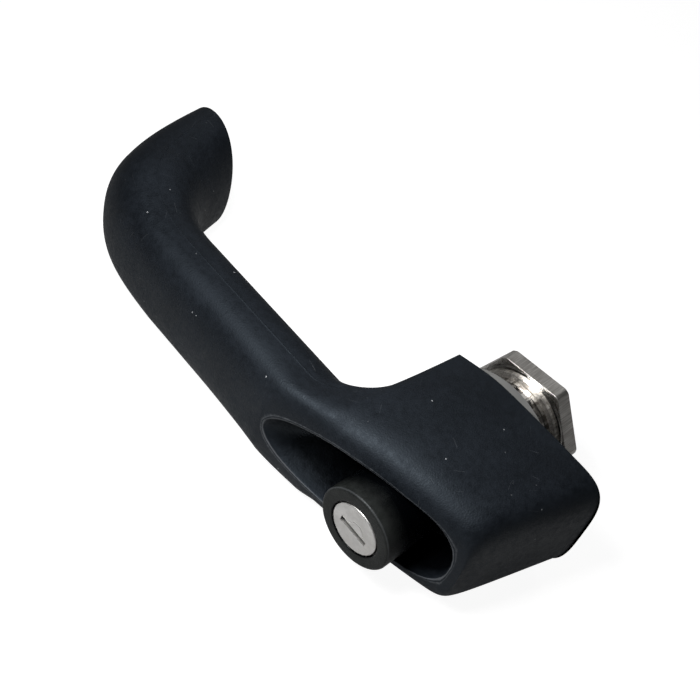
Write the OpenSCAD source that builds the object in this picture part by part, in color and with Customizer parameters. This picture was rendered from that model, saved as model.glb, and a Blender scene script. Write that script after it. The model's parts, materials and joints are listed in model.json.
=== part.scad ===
// Pull handle for a vehicle cab door with a push-button key lock in its base.
// The origin lies on the lock axis at the door plane. +X runs along the handle
// to the lock end, +Y goes into the door and +Z is up. Sizes in millimetres.

/* [Handle] */
// Distance from the lock axis to the screw axis in the foot
pitch = 120.2; // [112:0.2:136]
// Length of the foot along the handle
foot_len = 23.8; // [20:0.2:28]
// Width of the foot across the handle
foot_wide = 42.6; // [36:0.2:48]
// Room for fingers between the door and the grip, on the foot side
finger_room = 24.8; // [22:0.2:30]
// How much further the grip stands off on the lock side
grip_rise = 2; // [0:0.2:3]
// Thickness of the grip from front to back
grip_thick = 20.8; // [18:0.2:24]
// Width of the grip
grip_wide = 31.6; // [28:0.2:36]

/* [Lock base] */
// Width of the base across the handle
base_wide = 40; // [38:0.2:46]
// Wall between the lock barrel and the throat of the handle
base_wall = 2.1; // [1.6:0.1:5]
// Slope of the front face towards the lock end, per millimetre
front_slope = 0.18; // [0.1:0.01:0.24]
// Band of material round the end of the thumb recess
rim_band = 2.9; // [2:0.1:8]
// How far the door side reaches past the front at the lock end
end_lean = 10.7; // [6:0.1:14]
// Reach of the thumb recess from the button towards the grip
recess_reach = 25; // [18:0.5:28]
// Room in the thumb recess past the button at the lock end
recess_room = 10.2; // [7:0.2:13]

/* [Push button] */
// Diameter of the push button
button_d = 22.8; // [20:0.1:24]
// How far the button stands out of the recess rim
button_proud = 7.8; // [4:0.1:11]
// Travel of the button
travel = 8; // [5:0.5:9]

/* [Key lock] */
// Diameter of the lock face
face_d = 14.6; // [13.4:0.1:16]
// Diameter of the key plug behind the face
plug_d = 12.4; // [11.6:0.1:13]
// Length of the key slot
slot_len = 8.8; // [7.6:0.1:9]
// Width of the key slot
slot_wide = 1.5; // [1:0.1:1.7]
// How far the key slot lies below the middle of the lock face
slot_drop = 0.8; // [0:0.1:1]
// Tilt of the key slot about the lock axis at rest
slot_tilt = 5; // [0:0.5:10]
// Number of wafer tumblers
wafers = 6; // [4:1:7]
// Diameter of the rod that works the latch
rod_d = 9; // [7:0.2:10]

/* [Door fixing] */
// Thread diameter of the lock barrel
thread_d = 24; // [23:0.5:27]
// Room for the door panel between the two washers
clamp_room = 9.5; // [6:0.1:16]
// Width of the nut across its flats
nut_wide = 32; // [30:0.5:36]
// Thickness of the nut
nut_thick = 5.15; // [4:0.05:8]
// Turn of the nut about the lock axis
nut_turn = 6; // [0:0.5:59]
// Thread left free behind the nut
thread_out = 3.5; // [2:0.1:5]
// Thickness of the sealing washer behind the base
washer_t = 2.2; // [1:0.1:3]
// Diameter of the brass insert in the foot
insert_d = 12; // [10:0.2:14]
// Length of the brass insert in the foot
insert_len = 16; // [12:0.5:20]
// Diameter of the screw hole in the foot insert
screw_d = 6.8; // [4:0.1:8]

/* [Hidden] */
$fn = 64;
run_fit = 0.06;
seat_fit = 0.05;
air = 0.3;

// Radii round the lock axis
button_r = button_d / 2;
face_r = face_d / 2;
plug_r = plug_d / 2;
sleeve_r = plug_r + 2.8;
cup_in = button_r + 1.6;
pilot_r = thread_d / 2 + 1;
cup_out = pilot_r + 2;
nut_seat_r = cup_out - 0.6;
spring_bore = pilot_r - 3;
wire = 1.3;
spring_r = spring_bore - wire / 2 - 0.35;
spigot_out = spring_r - wire / 2 - 0.25;
spigot_in = spigot_out - 0.7;
clip_r = spigot_in - 1;
socket_r = spigot_in - 1.4;
tail_r = 4;
rod_r = rod_d / 2;
bush_out = rod_r + 2.5;

// Stations along the lock axis, from the door plane
floor_t = 3.7;
flange_t = 3;
guide_t = 5.5;
y_step = -floor_t;
y_flange = y_step - 3 - travel;
y_catch = y_flange - flange_t;
y_guide = y_catch - air;
y_floor = y_guide - guide_t;
y_pilot = washer_t + clamp_room;
y_nut = y_pilot + 0.8;
y_barrel = y_nut + nut_thick + thread_out;
y_rod = y_barrel + 4.4;
y_seat = y_pilot - 3.6;
y_spring = y_seat - 0.8;

// Front of the handle
recess_tip = -(button_r + recess_reach);
recess_end = button_r + recess_room;
recess_half = button_r + 0.6;
x_front = recess_tip - 1.5;
y_front = -(finger_room + grip_rise + grip_thick);
function front(x) = y_front + front_slope * (x - x_front);
y_face = front(0) - button_proud;
y_wall = y_flange - 2.5;

// Outline of the handle seen from above
over = 2;
foot_in = foot_len / 2 - pitch;
foot_out = -foot_len / 2 - pitch;
base_in = -(cup_out + base_wall);
throat_x = base_in - 1.9;
throat_r = 10;
throat_lag = 4;
back_0 = -finger_room;
back_1 = -finger_room - grip_rise;
fore_0 = -finger_room - grip_thick;
front_end = recess_end + rim_band;
base_out = front_end + end_lean;
in_lean = 6;
in_lead = 8.4;
in_reach = 25.7;
bend_in = [[foot_in, 0], [foot_in + in_lean, 0.655 * back_0],
    [foot_in + in_lead, back_0], [foot_in + in_reach, back_0]];
out_lean = 2.1;
out_lead = 9.5;
out_dip = 2.4;
out_reach = 44;
bend_out = [[foot_out, 0], [foot_out + out_lean, 0.775 * fore_0],
    [foot_out + out_lead, fore_0 + out_dip], [foot_out + out_reach, fore_0]];

function mix(a, b, t) = a + (b - a) * t;
function ease(t) = t * t * (3 - 2 * t);
function bez(p, t) = pow(1 - t, 3) * p[0] + 3 * t * pow(1 - t, 2) * p[1]
    + 3 * t * t * (1 - t) * p[2] + pow(t, 3) * p[3];
function spow(v, e) = sign(v) * pow(abs(v), e);

// Half-widths of the base at the door side and along its front
half = base_wide / 2;
peak_x = -5.3;
peak_soft = 5.64;
function plan(x) = let (d = x - peak_x)
    half - 0.155 * (sqrt(d * d + peak_soft * peak_soft) - peak_soft) + 0.095 * d;
function brow(q) = half * (0.97 * (1 - q) * (1 - 2 * q)
    + 4 * q * (1 - q) + 0.853 * q * (2 * q - 1));
// Falls from 1 to 0 over the last stretch before an end, as a squared quarter oval
end_run = 13.1;
brow_run = 9;
function round_off(x, end, run, n) = let (e = min(1, max(0, (x - end + run) / run)))
    pow(1 - pow(e, n), 1 / n);

// A section: back point, front point, half-width at the back and at the front,
// place of the widest line, squareness of the back and of the front
foot_half = foot_wide / 2;
grip_half = grip_wide / 2;
sq_foot = 2.15;
sq_back = 2.54;
sq_fore = 2.72;
sq_base = 6.2;
function bend(u) = let (
    k = u < 0.33 ? 0.9 * u : 0.3 + 0.7 * ease((u - 0.33) / 0.67),
    m = max(0, (u - 0.33) / 0.67),
    w = mix(foot_half, grip_half, k))
    [bez(bend_in, u), bez(bend_out, u), w, w, 0.5,
        mix(sq_foot, sq_back, m), mix(sq_foot, sq_fore, m)];
function grip(t) = [
    mix(bend_in[3], [throat_x - throat_r, back_1], t),
    mix(bend_out[3], [x_front, y_front], t),
    grip_half, grip_half, 0.5, sq_back, sq_fore];
function throat(t) = let (k = ease(t), a = 90 * t, x = mix(x_front, throat_x - throat_lag, t))
    [[throat_x - throat_r + throat_r * sin(a), back_1 + throat_r * (1 - cos(a))],
        [x, front(x)],
        mix(grip_half, plan(base_in), 0.7 * k), mix(grip_half, brow(0), 0.6 * k),
        mix(0.5, 0.33, k), mix(sq_back, 5, k), mix(sq_fore, sq_base, k)];
function side(t) = let (x = mix(throat_x - throat_lag, base_in, t))
    [mix([throat_x, back_1 + throat_r], [base_in + 0.2, over], t), [x, front(x)],
        mix(grip_half, plan(base_in), 0.7 + 0.3 * t),
        mix(grip_half, brow(0), 0.6 + 0.4 * t),
        mix(0.33, 0.09, t), mix(5, 15, t), sq_base];
function base(t) = let (s = sin(90 * t), x = mix(base_in, base_out, s),
    xf = mix(base_in, front_end, s))
    [[x + 0.2, over], [xf, front(xf)], round_off(x, base_out, end_run, 4) * plan(x),
        round_off(xf, front_end, brow_run, 4.5) * brow(s), 0.09, 15, sq_base];

ring_n = 36;
function ring(s) = [for (i = [0 : ring_n - 1]) let (
    a = 360 * i / ring_n,
    n = cos(a) < 0 ? s[5] : s[6],
    d = spow(cos(a), 2 / n),
    m = s[4],
    t = d < 0 ? m + d * m : m + d * (1 - m),
    w = mix(s[2], s[3], max(0, (t - m) / (1 - m))),
    p = mix(s[0], s[1], t))
    [p[0], p[1], spow(sin(a), 2 / n) * w]];
// The foot runs on past the door plane, where it is cut flat
function run_on(p, q) = p + (p - q) * over / (p[1] - q[1]);
bend_1 = bend(1 / 12);
stations = concat(
    [[run_on(bend_in[0], bend_1[0]), run_on(bend_out[0], bend_1[1]),
        foot_half, foot_half, 0.5, sq_foot, sq_foot]],
    [for (i = [1 : 11]) bend(i / 12)],
    [for (i = [0 : 2]) grip(i / 3)],
    [for (i = [0 : 6]) throat(i / 7)],
    [for (i = [0 : 2]) side(i / 3)],
    [for (i = [0 : 11]) base(0.93 * i / 11)]);

// Thumb recess: egg-shaped rings between a flat floor and the sloped rim
recess_mid = 3;
recess_ramp = 5.8;
function egg(s) = let (
    k = max(0, s),
    tip = mix(recess_tip, -(button_r + recess_ramp), k),
    end = mix(recess_end, recess_end - 3, k))
    [for (i = [0 : ring_n - 1]) let (
        a = 360 * i / ring_n,
        c = cos(a),
        x = c < 0 ? recess_mid - (recess_mid - tip) * pow(-c, 2 / 2.4)
            : recess_mid + (end - recess_mid) * pow(c, 2 / 3.8))
        [x, mix(front(x), y_floor, s), recess_half * sin(a)]];

// A closed skin through a list of rings, its ends closed from their middles
function middle(r) = [for (j = [0 : 2]) (min([for (q = r) q[j]]) + max([for (q = r) q[j]])) / 2];
module loft(rings) {
    n = len(rings[0]);
    last = len(rings) - 1;
    mid = n * (last + 1);
    polyhedron(
        points = concat([for (r = rings) each r], [middle(rings[0]), middle(rings[last])]),
        faces = [for (i = [0 : n - 1]) let (j = (i + 1) % n) each concat(
            [[mid, i, j], [mid + 1, last * n + j, last * n + i]],
            [for (k = [0 : last - 1]) each [
                [k * n + i, k * n + n + i, k * n + n + j],
                [k * n + i, k * n + n + j, k * n + j]]])]);
}

// Round pieces on the lock axis
module on_axis(y) translate([0, y, 0]) rotate([-90, 0, 0]) children();
module disc(r, y0, y1) on_axis(y0) cylinder(r = r, h = y1 - y0);
module tube(r_out, r_in, y0, y1) difference() {
    disc(r_out, y0, y1);
    disc(r_in, y0 - 1, y1 + 1);
}
// Disc with its front edge rounded
module soft_disc(r, y0, y1, e) on_axis(y0) rotate_extrude() union() {
    square([r - e, y1 - y0]);
    translate([0, e]) square([r, y1 - y0 - e]);
    translate([r - e, e]) intersection() {
        circle(r = e);
        square([2 * e, 2 * e], center = true);
    }
}
// Coil of round wire along +Z, between two planes
module coil(r, w, h, turns, steps, sides) {
    n = turns * steps;
    loft([for (k = [0 : n]) let (a = 360 * k / steps, z = w / 2 + (h - w) * k / n)
        [for (i = [0 : sides - 1]) let (b = -360 * i / sides, q = r + w / 2 * cos(b))
            [q * cos(a), q * sin(a), z + w / 2 * sin(b)]]]);
}
// Things that turn with the key slot
module tilted() rotate([0, slot_tilt, 0]) children();
module slotted() translate([0, 0, -slot_drop]) children();
module block(x0, x1, y0, y1, z0, z1)
    translate([x0, y0, z0]) cube([x1 - x0, y1 - y0, z1 - z0]);

// Anchor groove round the lock barrel, filled by the moulding
anchor_y = y_guide / 2 - 3;
anchor_t = 3;
anchor_r = cup_out - 0.8;
seal_w = 1.9;
seal_r = button_r + 0.1 + seal_w / 2;
seal_y = y_floor + guide_t / 2;

module handle_body() color("#1c1f25") difference() {
    loft([for (s = stations) ring(s)]);
    block(2 * foot_out, 2 * base_out, 0, 2 * over, -foot_wide, foot_wide);
    loft([for (s = [1, 0.87, 0.7, 0.5, 0.32, 0.14, 0.03, -0.4]) egg(s)]);
    disc(button_r + run_fit, y_floor - 1, y_guide + 1);
    disc(seal_r + seal_w / 2 + seat_fit, seal_y - seal_w / 2 - 0.15, seal_y + seal_w / 2 + 0.15);
    disc(cup_out + seat_fit, y_guide, anchor_y);
    disc(anchor_r + seat_fit, anchor_y - 1, anchor_y + anchor_t + 1);
    disc(cup_out + seat_fit, anchor_y + anchor_t, 1);
    translate([-pitch, -insert_len, 0]) rotate([-90, 0, 0])
        cylinder(d = insert_d + 2 * seat_fit, h = insert_len + 1);
}

module foot_insert() color("#b98f45") translate([-pitch, -insert_len, 0]) rotate([-90, 0, 0])
    difference() {
        cylinder(d = insert_d, h = insert_len);
        for (z = [0.3, 0.6]) translate([0, 0, z * insert_len]) difference() {
            cylinder(d = insert_d + 2, h = 1.5);
            translate([0, 0, -1]) cylinder(d = insert_d - 1.2, h = 4);
        }
        translate([0, 0, 2]) cylinder(d = screw_d, h = insert_len);
    }

rib_w = 3;
rib_in = cup_in - 1.2;
module barrel() color("#c9c6c0") union() {
    difference() {
        union() {
            disc(cup_out, y_guide, anchor_y);
            disc(anchor_r, anchor_y - 1, anchor_y + anchor_t + 1);
            disc(cup_out, anchor_y + anchor_t, 0);
            disc(pilot_r, -1, y_pilot);
            disc(thread_d / 2, y_pilot - 1, y_barrel - 0.8);
            on_axis(y_barrel - 0.8) cylinder(r1 = thread_d / 2, r2 = thread_d / 2 - 0.8, h = 0.8);
        }
        disc(cup_in, y_guide - 1, y_step);
        disc(spring_bore, y_step - 1, y_seat);
        disc(bush_out + seat_fit, y_seat - 1, y_barrel + 1);
    }
    intersection() {
        block(rib_in, cup_in + 1, y_guide, y_step, -rib_w / 2, rib_w / 2);
        disc(cup_in + 0.5, y_guide, y_step);
    }
}

// As wide as the base, with a flat along the throat
module base_washer() color("#cfcdc6") difference() {
    tube(half + 0.2, pilot_r + 0.1, 0, washer_t);
    block(-base_wide, base_in, -1, washer_t + 1, -base_wide, base_wide);
}

module nut_washer() color("#bdbab3")
    tube(nut_seat_r, thread_d / 2 + seat_fit, y_pilot, y_nut);

// Hexagon nut with a round raised face towards the door
nut_face = 0.5;
nut_edge = 0.4;
module clamp_nut() color("#c4c1bb") difference() {
    union() {
        disc(nut_wide / 2 - 0.2, y_nut, y_nut + nut_face + 1);
        intersection() {
            rotate([0, -nut_turn, 0]) on_axis(y_nut + nut_face)
                cylinder(d = nut_wide / cos(30), h = nut_thick - nut_face, $fn = 6);
            disc(nut_wide / 2 / cos(30) - nut_edge, y_nut, y_nut + nut_thick + 1);
        }
    }
    disc(thread_d / 2 + seat_fit, y_nut - 1, y_nut + nut_thick + 1);
}

module guide_seal() color("#141414")
    on_axis(seal_y) rotate_extrude() translate([seal_r, 0]) circle(d = seal_w);

module return_spring() color("#a9aaa8")
    on_axis(y_flange + 0.05) coil(spring_r, wire, y_spring - y_flange - 0.1, 6.5, 18, 8);

module spring_seat() color("#b5b3ae")
    tube(spring_bore - 0.1, rod_r + 1.2, y_spring, y_seat);

module rod_bush() color("#c7c2b2")
    tube(bush_out, rod_r + run_fit, y_seat + 1.2, y_barrel - 0.6);

cap_face = 2.2;
pin_y = y_catch - 2.5;
module push_button() color("#22252b") difference() {
    soft_disc(button_r, y_face, y_catch, 1.6);
    disc(face_r + 0.4, y_face - 1, y_face + cap_face + 1);
    disc(sleeve_r + seat_fit, y_face + cap_face, y_catch + 1);
    translate([sleeve_r - 2, pin_y, 0]) rotate([0, 90, 0])
        cylinder(r = 1 + seat_fit, h = button_r - sleeve_r + 4);
}

head_t = 2.1;
module lock_sleeve() color("#b9b6ae") difference() {
    union() {
        disc(sleeve_r, y_face + cap_face + 0.1, y_flange);
        disc(cup_in - 0.1, y_catch, y_flange);
        disc(spigot_out, y_flange - 1, y_flange + 3);
    }
    disc(plug_r + run_fit, y_face, y_wall);
    disc(tail_r + run_fit, y_wall - 1, y_flange + 1);
    disc(spigot_in, y_flange, y_flange + 4);
    block(rib_in - 0.3, cup_in + 1, y_catch - 1, y_flange + 1, -rib_w / 2 - 0.3, rib_w / 2 + 0.3);
    tilted() block(-plug_r - 1.1, plug_r + 1.1, wafer_y(0) - 1.2, wafer_y(wafers - 1) + 1.2, -2.7, 2.7);
    translate([sleeve_r - 1.4, pin_y, 0]) rotate([0, 90, 0])
        cylinder(r = 1 + seat_fit, h = 3);
}

module sleeve_pin() color("#9a9a98") translate([sleeve_r - 1.35, pin_y, 0]) rotate([0, 90, 0])
    cylinder(r = 1, h = button_r - sleeve_r + 1.25);

// Wafers sit in slots across the plug, each with an ear that its spring lifts
wafer_step = 3;
wafer_t = 1.2;
wafer_room = wafer_t / 2 + seat_fit;
wafer_half = 2.5;
ear_x = 3.5;
ear_w = 0.8;
ear_z = 3.9;
lift_len = 2.5;
lift_r = 0.42;
lift_wire = 0.22;
lift_z = 3.3;
key_half = 1.1;
function wafer_y(i) = y_face + 7.4 + i * wafer_step;
y_groove = y_flange + 0.1;
y_square = y_groove + 1.6;
y_tail = y_square + 6.6;
clip_t = 0.8;
tang = 2.45;
rod_pin_r = 1;
y_pin = y_square + 3.4;
tongue = 4;
tongue_len = 4.2;
hinge_y = y_face + 1.55;
hinge_z = slot_wide / 2 + 0.85;
flap_lip = slot_wide / 2 + 0.55;
flap_half = slot_len / 2 + 0.1;
flap_t = 0.5;
flap_gap = 2.2;
flap_y = hinge_y - 0.15;
flap_room = 5.3;
notch = 1.2;
arc_r = 2.5;
arc_line = 0.2;

module key_plug() color("#c3c0ba") tilted() difference() {
    union() {
        soft_disc(face_r, y_face, y_face + head_t, 0.4);
        disc(plug_r, y_face + 1, y_wall - 0.1);
        disc(tail_r, y_wall - 1, y_square);
        block(-tang, tang, y_square - 1, y_tail, -tang, tang);
    }
    slotted() {
        block(-slot_len / 2, slot_len / 2, y_face - 1, y_face + 2, -slot_wide / 2, slot_wide / 2);
        block(-slot_len / 2 - 0.1, notch - slot_len / 2, y_face - 1, y_face + 2,
            -slot_wide / 2 - 0.2, slot_wide / 2 + 0.2);
        block(-flap_half - 0.25, flap_half + 0.25, y_face + 0.8, y_face + flap_room,
            -flap_lip - 0.25, hinge_z + 0.85);
        block(-slot_len / 2, slot_len / 2, y_face + flap_room - 0.3, wafer_y(wafers - 1) + 3,
            -key_half, key_half);
        translate([-flap_half - 1, hinge_y, hinge_z]) rotate([0, 90, 0])
            cylinder(r = 0.44, h = face_r + flap_half + 2);
    }
    // Shallow arc beside the slot
    intersection() {
        translate([0.5, 0, 0.1])
            tube(arc_r + arc_line / 2, arc_r - arc_line / 2, y_face - 1, y_face + 0.15);
        block(-face_r, face_r, y_face - 2, y_face + 1, slot_wide / 2 - slot_drop + 0.3, face_r);
    }
    for (i = [0 : wafers - 1]) translate([0, wafer_y(i), 0]) {
        block(-plug_r - 1, plug_r + 1, -wafer_room, wafer_room, -wafer_half - 0.1, wafer_half + 0.1);
        block(ear_x - lift_len - 0.1, plug_r + 1, -wafer_room, wafer_room, wafer_half, ear_z + 0.2);
    }
    difference() {
        disc(tail_r + 1, y_groove, y_groove + clip_t + 0.2);
        disc(tail_r - 0.8, y_groove - 1, y_groove + clip_t + 1);
    }
    translate([0, y_pin, 0]) rotate([0, 90, 0])
        cylinder(r = rod_pin_r + seat_fit, h = 4 * socket_r, center = true);
}

module wafer_tumblers() color("#c2a25e") tilted() for (i = [0 : wafers - 1])
    translate([0, wafer_y(i), 0]) difference() {
        intersection() {
            union() {
                block(-plug_r, plug_r, -wafer_t / 2, wafer_t / 2, -wafer_half, wafer_half);
                block(ear_x, ear_x + ear_w, -wafer_t / 2, wafer_t / 2, wafer_half - 0.5, ear_z);
            }
            disc(plug_r - 0.05, -wafer_t, wafer_t);
        }
        slotted() translate([0.25 * (i % 3), 0, 0])
            block(0.2 - slot_len / 2, slot_len / 2 - 1, -wafer_t, wafer_t, -key_half - 0.1, key_half + 0.1);
    }

module wafer_springs() color("#9b9c9a") tilted() for (i = [0 : wafers - 1])
    translate([ear_x - lift_len - 0.05, wafer_y(i), lift_z]) rotate([0, 90, 0])
        coil(lift_r, lift_wire, lift_len, 4, 8, 4);

module shutter_pin() color("#a5a5a3") tilted() slotted()
    translate([-flap_half - 0.9, hinge_y, hinge_z]) rotate([0, 90, 0])
        cylinder(r = 0.4, h = 2 * flap_half + flap_gap);

module shutter_spring() color("#9b9c9a") tilted() slotted()
    translate([flap_half + 0.3 - flap_gap, hinge_y, hinge_z]) rotate([0, 90, 0])
        coil(0.56, 0.2, flap_gap - 0.3, 5, 10, 4);

module dust_shutter() color("#bfbcb6") tilted() slotted() difference() {
    union() {
        block(notch - flap_half, flap_half, flap_y - flap_t, flap_y, -flap_lip, hinge_z - 0.95);
        block(notch - flap_half, flap_half - flap_gap, flap_y - flap_t, flap_y, hinge_z - 1, hinge_z);
        translate([-flap_half, hinge_y, hinge_z]) rotate([0, 90, 0])
            cylinder(r = 0.65, h = 2 * flap_half - flap_gap);
    }
    translate([-flap_half - 1, hinge_y, hinge_z]) rotate([0, 90, 0])
        cylinder(r = 0.46, h = 2 * flap_half);
}

module tail_clip() color("#8d8e8c") tilted() difference() {
    tube(clip_r, tail_r - 0.75, y_groove + 0.1, y_groove + 0.1 + clip_t);
    block(1.2 - tail_r, tail_r - 1.2, y_groove - 1, y_groove + clip_t + 1, 0, clip_r + 1);
}

module push_rod() color("#b7b5b0") tilted() difference() {
    union() {
        disc(socket_r, y_square + 0.4, y_tail + 1.2);
        disc(rod_r, y_tail, y_rod);
    }
    block(-tang - seat_fit, tang + seat_fit, y_square - 1, y_tail + 0.1, -tang - seat_fit, tang + seat_fit);
    translate([0, y_pin, 0]) rotate([0, 90, 0])
        cylinder(r = rod_pin_r + seat_fit, h = 4 * socket_r, center = true);
    for (s = [0, 1]) mirror([0, 0, s])
        block(-2 * rod_r, 2 * rod_r, y_rod - tongue_len, y_rod + 1, tongue / 2, 2 * rod_r);
}

module rod_pin() color("#9a9a98") tilted() translate([0, y_pin, 0]) rotate([0, 90, 0])
    cylinder(r = rod_pin_r, h = 2 * socket_r - 0.4, center = true);

handle_body();
foot_insert();
barrel();
base_washer();
nut_washer();
clamp_nut();
guide_seal();
return_spring();
spring_seat();
rod_bush();
push_button();
lock_sleeve();
sleeve_pin();
key_plug();
wafer_tumblers();
wafer_springs();
shutter_pin();
shutter_spring();
dust_shutter();
tail_clip();
push_rod();
rod_pin();
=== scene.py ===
import json
import math
import bmesh
import bpy
import numpy as np
from mathutils import Matrix


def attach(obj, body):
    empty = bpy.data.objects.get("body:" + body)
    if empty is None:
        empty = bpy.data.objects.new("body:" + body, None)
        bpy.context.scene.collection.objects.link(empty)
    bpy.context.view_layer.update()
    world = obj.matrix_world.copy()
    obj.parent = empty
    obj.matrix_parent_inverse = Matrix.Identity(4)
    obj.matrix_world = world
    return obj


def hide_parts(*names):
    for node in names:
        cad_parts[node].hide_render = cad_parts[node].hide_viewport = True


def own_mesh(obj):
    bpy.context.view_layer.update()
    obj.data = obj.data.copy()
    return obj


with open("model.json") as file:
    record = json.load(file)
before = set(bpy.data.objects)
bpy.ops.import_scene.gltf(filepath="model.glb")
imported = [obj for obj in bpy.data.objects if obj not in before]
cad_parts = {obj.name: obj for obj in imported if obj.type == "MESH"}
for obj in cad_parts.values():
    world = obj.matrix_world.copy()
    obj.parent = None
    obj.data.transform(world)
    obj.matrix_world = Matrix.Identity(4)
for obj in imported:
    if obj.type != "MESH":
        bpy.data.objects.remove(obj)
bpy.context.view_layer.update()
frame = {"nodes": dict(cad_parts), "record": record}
scene = bpy.context.scene
cadNodes = frame["nodes"]
print("frame loaded:", len(cadNodes), "CAD pieces")


# mesh helpers, all lengths in millimetres until the mesh is made
def gridQuads(rows, cols, wrap=True, start=0):
    # quads of a rows by cols grid of points, closed round the columns if wrapped
    idx = start + np.arange(rows * cols).reshape(rows, cols)
    right = np.roll(idx, -1, axis=1) if wrap else idx[:, 1:]
    left = idx if wrap else idx[:, :-1]
    return np.stack([left[:-1], left[1:], right[1:], right[:-1]], axis=-1).reshape(-1, 4)


def fanTris(ring, centre):
    # triangles from a ring of point numbers to one centre point
    return np.stack([ring, np.roll(ring, -1), np.full(len(ring), centre)], axis=-1)


def makePiece(name, points, faces, body, slot, replaced, sharp=40.0, masks=None, bridged=False):
    mesh = bpy.data.meshes.new(name)
    mesh.from_pydata(np.asarray(points, float) * 0.001, [], [list(map(int, f)) for f in faces])
    for key, values in (masks or {}).items():
        layer = mesh.attributes.new(key, "FLOAT", "POINT")
        layer.data.foreach_set("value", np.asarray(values, np.float32))
    bm = bmesh.new()
    bm.from_mesh(mesh)
    bmesh.ops.remove_doubles(bm, verts=bm.verts, dist=2e-6)
    bmesh.ops.dissolve_degenerate(bm, edges=bm.edges, dist=1e-7)
    if bridged:
        bmesh.ops.bridge_loops(bm, edges=[e for e in bm.edges if e.is_boundary])
    bmesh.ops.recalc_face_normals(bm, faces=bm.faces)
    bm.to_mesh(mesh)
    bm.free()
    mesh.polygons.foreach_set("use_smooth", np.ones(len(mesh.polygons), bool))
    mesh.set_sharp_from_angle(angle=math.radians(sharp))
    piece = bpy.data.objects.new(name, mesh)
    scene.collection.objects.link(piece)
    mesh.materials.append(finishes[slot])
    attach(piece, body)
    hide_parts(*replaced)
    return piece


def mix(a, b, t):
    # straight blend from a to b
    return a + (b - a) * t


def ease(t):
    # smooth step: three squares less two cubes
    return t * t * (3 - 2 * t)


def signedPower(v, e):
    # a power that keeps the sign
    return np.sign(v) * np.abs(v) ** e


# shader helpers
def newGroup(name, inputs, outputs):
    tree = bpy.data.node_groups.new(name, "ShaderNodeTree")
    for label, kind, value in inputs:
        socket = tree.interface.new_socket(name=label, in_out="INPUT", socket_type=kind)
        socket.default_value = value
    for label, kind in outputs:
        tree.interface.new_socket(name=label, in_out="OUTPUT", socket_type=kind)
    return tree, tree.nodes.new("NodeGroupInput"), tree.nodes.new("NodeGroupOutput")


def node(tree, kind, **values):
    made = tree.nodes.new(kind)
    for key, value in values.items():
        if hasattr(made, key):
            setattr(made, key, value)
        else:
            made.inputs[key.replace("_", " ")].default_value = value
    return made


def calc(tree, operation, a, b=None, c=None):
    made = tree.nodes.new("ShaderNodeMath")
    made.operation = operation
    for slot, value in zip(made.inputs, (a, b, c)):
        if value is None:
            continue
        if isinstance(value, (int, float)):
            slot.default_value = value
        else:
            tree.links.new(value, slot)
    return made.outputs[0]


def vectorCalc(tree, operation, a, b=None):
    made = node(tree, "ShaderNodeVectorMath", operation=operation)
    for slot, value in zip(made.inputs, (a, b)):
        if isinstance(value, tuple):
            slot.default_value = value
        elif value is not None:
            tree.links.new(value, slot)
    return made.outputs["Value" if operation in ("DOT_PRODUCT", "LENGTH") else "Vector"]


def ramp(tree, value, low, high):
    # smooth step from 0 at low to 1 at high
    made = node(tree, "ShaderNodeMapRange", interpolation_type="SMOOTHSTEP", clamp=True)
    made.inputs["From Min"].default_value = low
    made.inputs["From Max"].default_value = high
    tree.links.new(value, made.inputs["Value"])
    return made.outputs[0]


def blendColour(tree, mask, below, above):
    made = node(tree, "ShaderNodeMix", data_type="RGBA")
    tree.links.new(mask, made.inputs[0])
    for slot, value in ((made.inputs[6], below), (made.inputs[7], above)):
        if isinstance(value, tuple):
            slot.default_value = (*value, 1.0)
        else:
            tree.links.new(value, slot)
    return made.outputs[2]


def noiseAt(tree, place, scale, detail=3.0, rough=0.5):
    made = node(tree, "ShaderNodeTexNoise", Scale=scale, Detail=detail, Roughness=rough)
    tree.links.new(place, made.inputs["Vector"])
    return made.outputs[0]


# moulded grain: rounded cells and a soft waviness as a height, with broad and fine clouds;
# a noise here and below is its count per metre, its detail and its roughness
grain = dict(waves=(700.0, 4.0, 0.6), clouds=(60.0, 3.0, 0.55), flecks=(560.0, 6.0, 0.74),
             cellSoft=0.6, cellShare=0.6, waveShare=0.5)
grainGroup, gIn, gOut = newGroup("mouldedGrain", [
    ("Place", "NodeSocketVector", (0, 0, 0)), ("Cells", "NodeSocketFloat", 2200.0)],
    [("Height", "NodeSocketFloat"), ("Sheen", "NodeSocketFloat"), ("Fleck", "NodeSocketFloat")])
gPlace = gIn.outputs["Place"]
cells = node(grainGroup, "ShaderNodeTexVoronoi", feature="SMOOTH_F1", Smoothness=grain["cellSoft"])
grainGroup.links.new(gPlace, cells.inputs["Vector"])
grainGroup.links.new(gIn.outputs["Cells"], cells.inputs["Scale"])
cellPart = calc(grainGroup, "MULTIPLY", cells.outputs["Distance"], grain["cellShare"])
wavePart = calc(grainGroup, "MULTIPLY", noiseAt(grainGroup, gPlace, *grain["waves"]), grain["waveShare"])
grainGroup.links.new(calc(grainGroup, "ADD", cellPart, wavePart), gOut.inputs["Height"])
grainGroup.links.new(noiseAt(grainGroup, gPlace, *grain["clouds"]), gOut.inputs["Sheen"])
grainGroup.links.new(noiseAt(grainGroup, gPlace, *grain["flecks"]), gOut.inputs["Fleck"])

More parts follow.
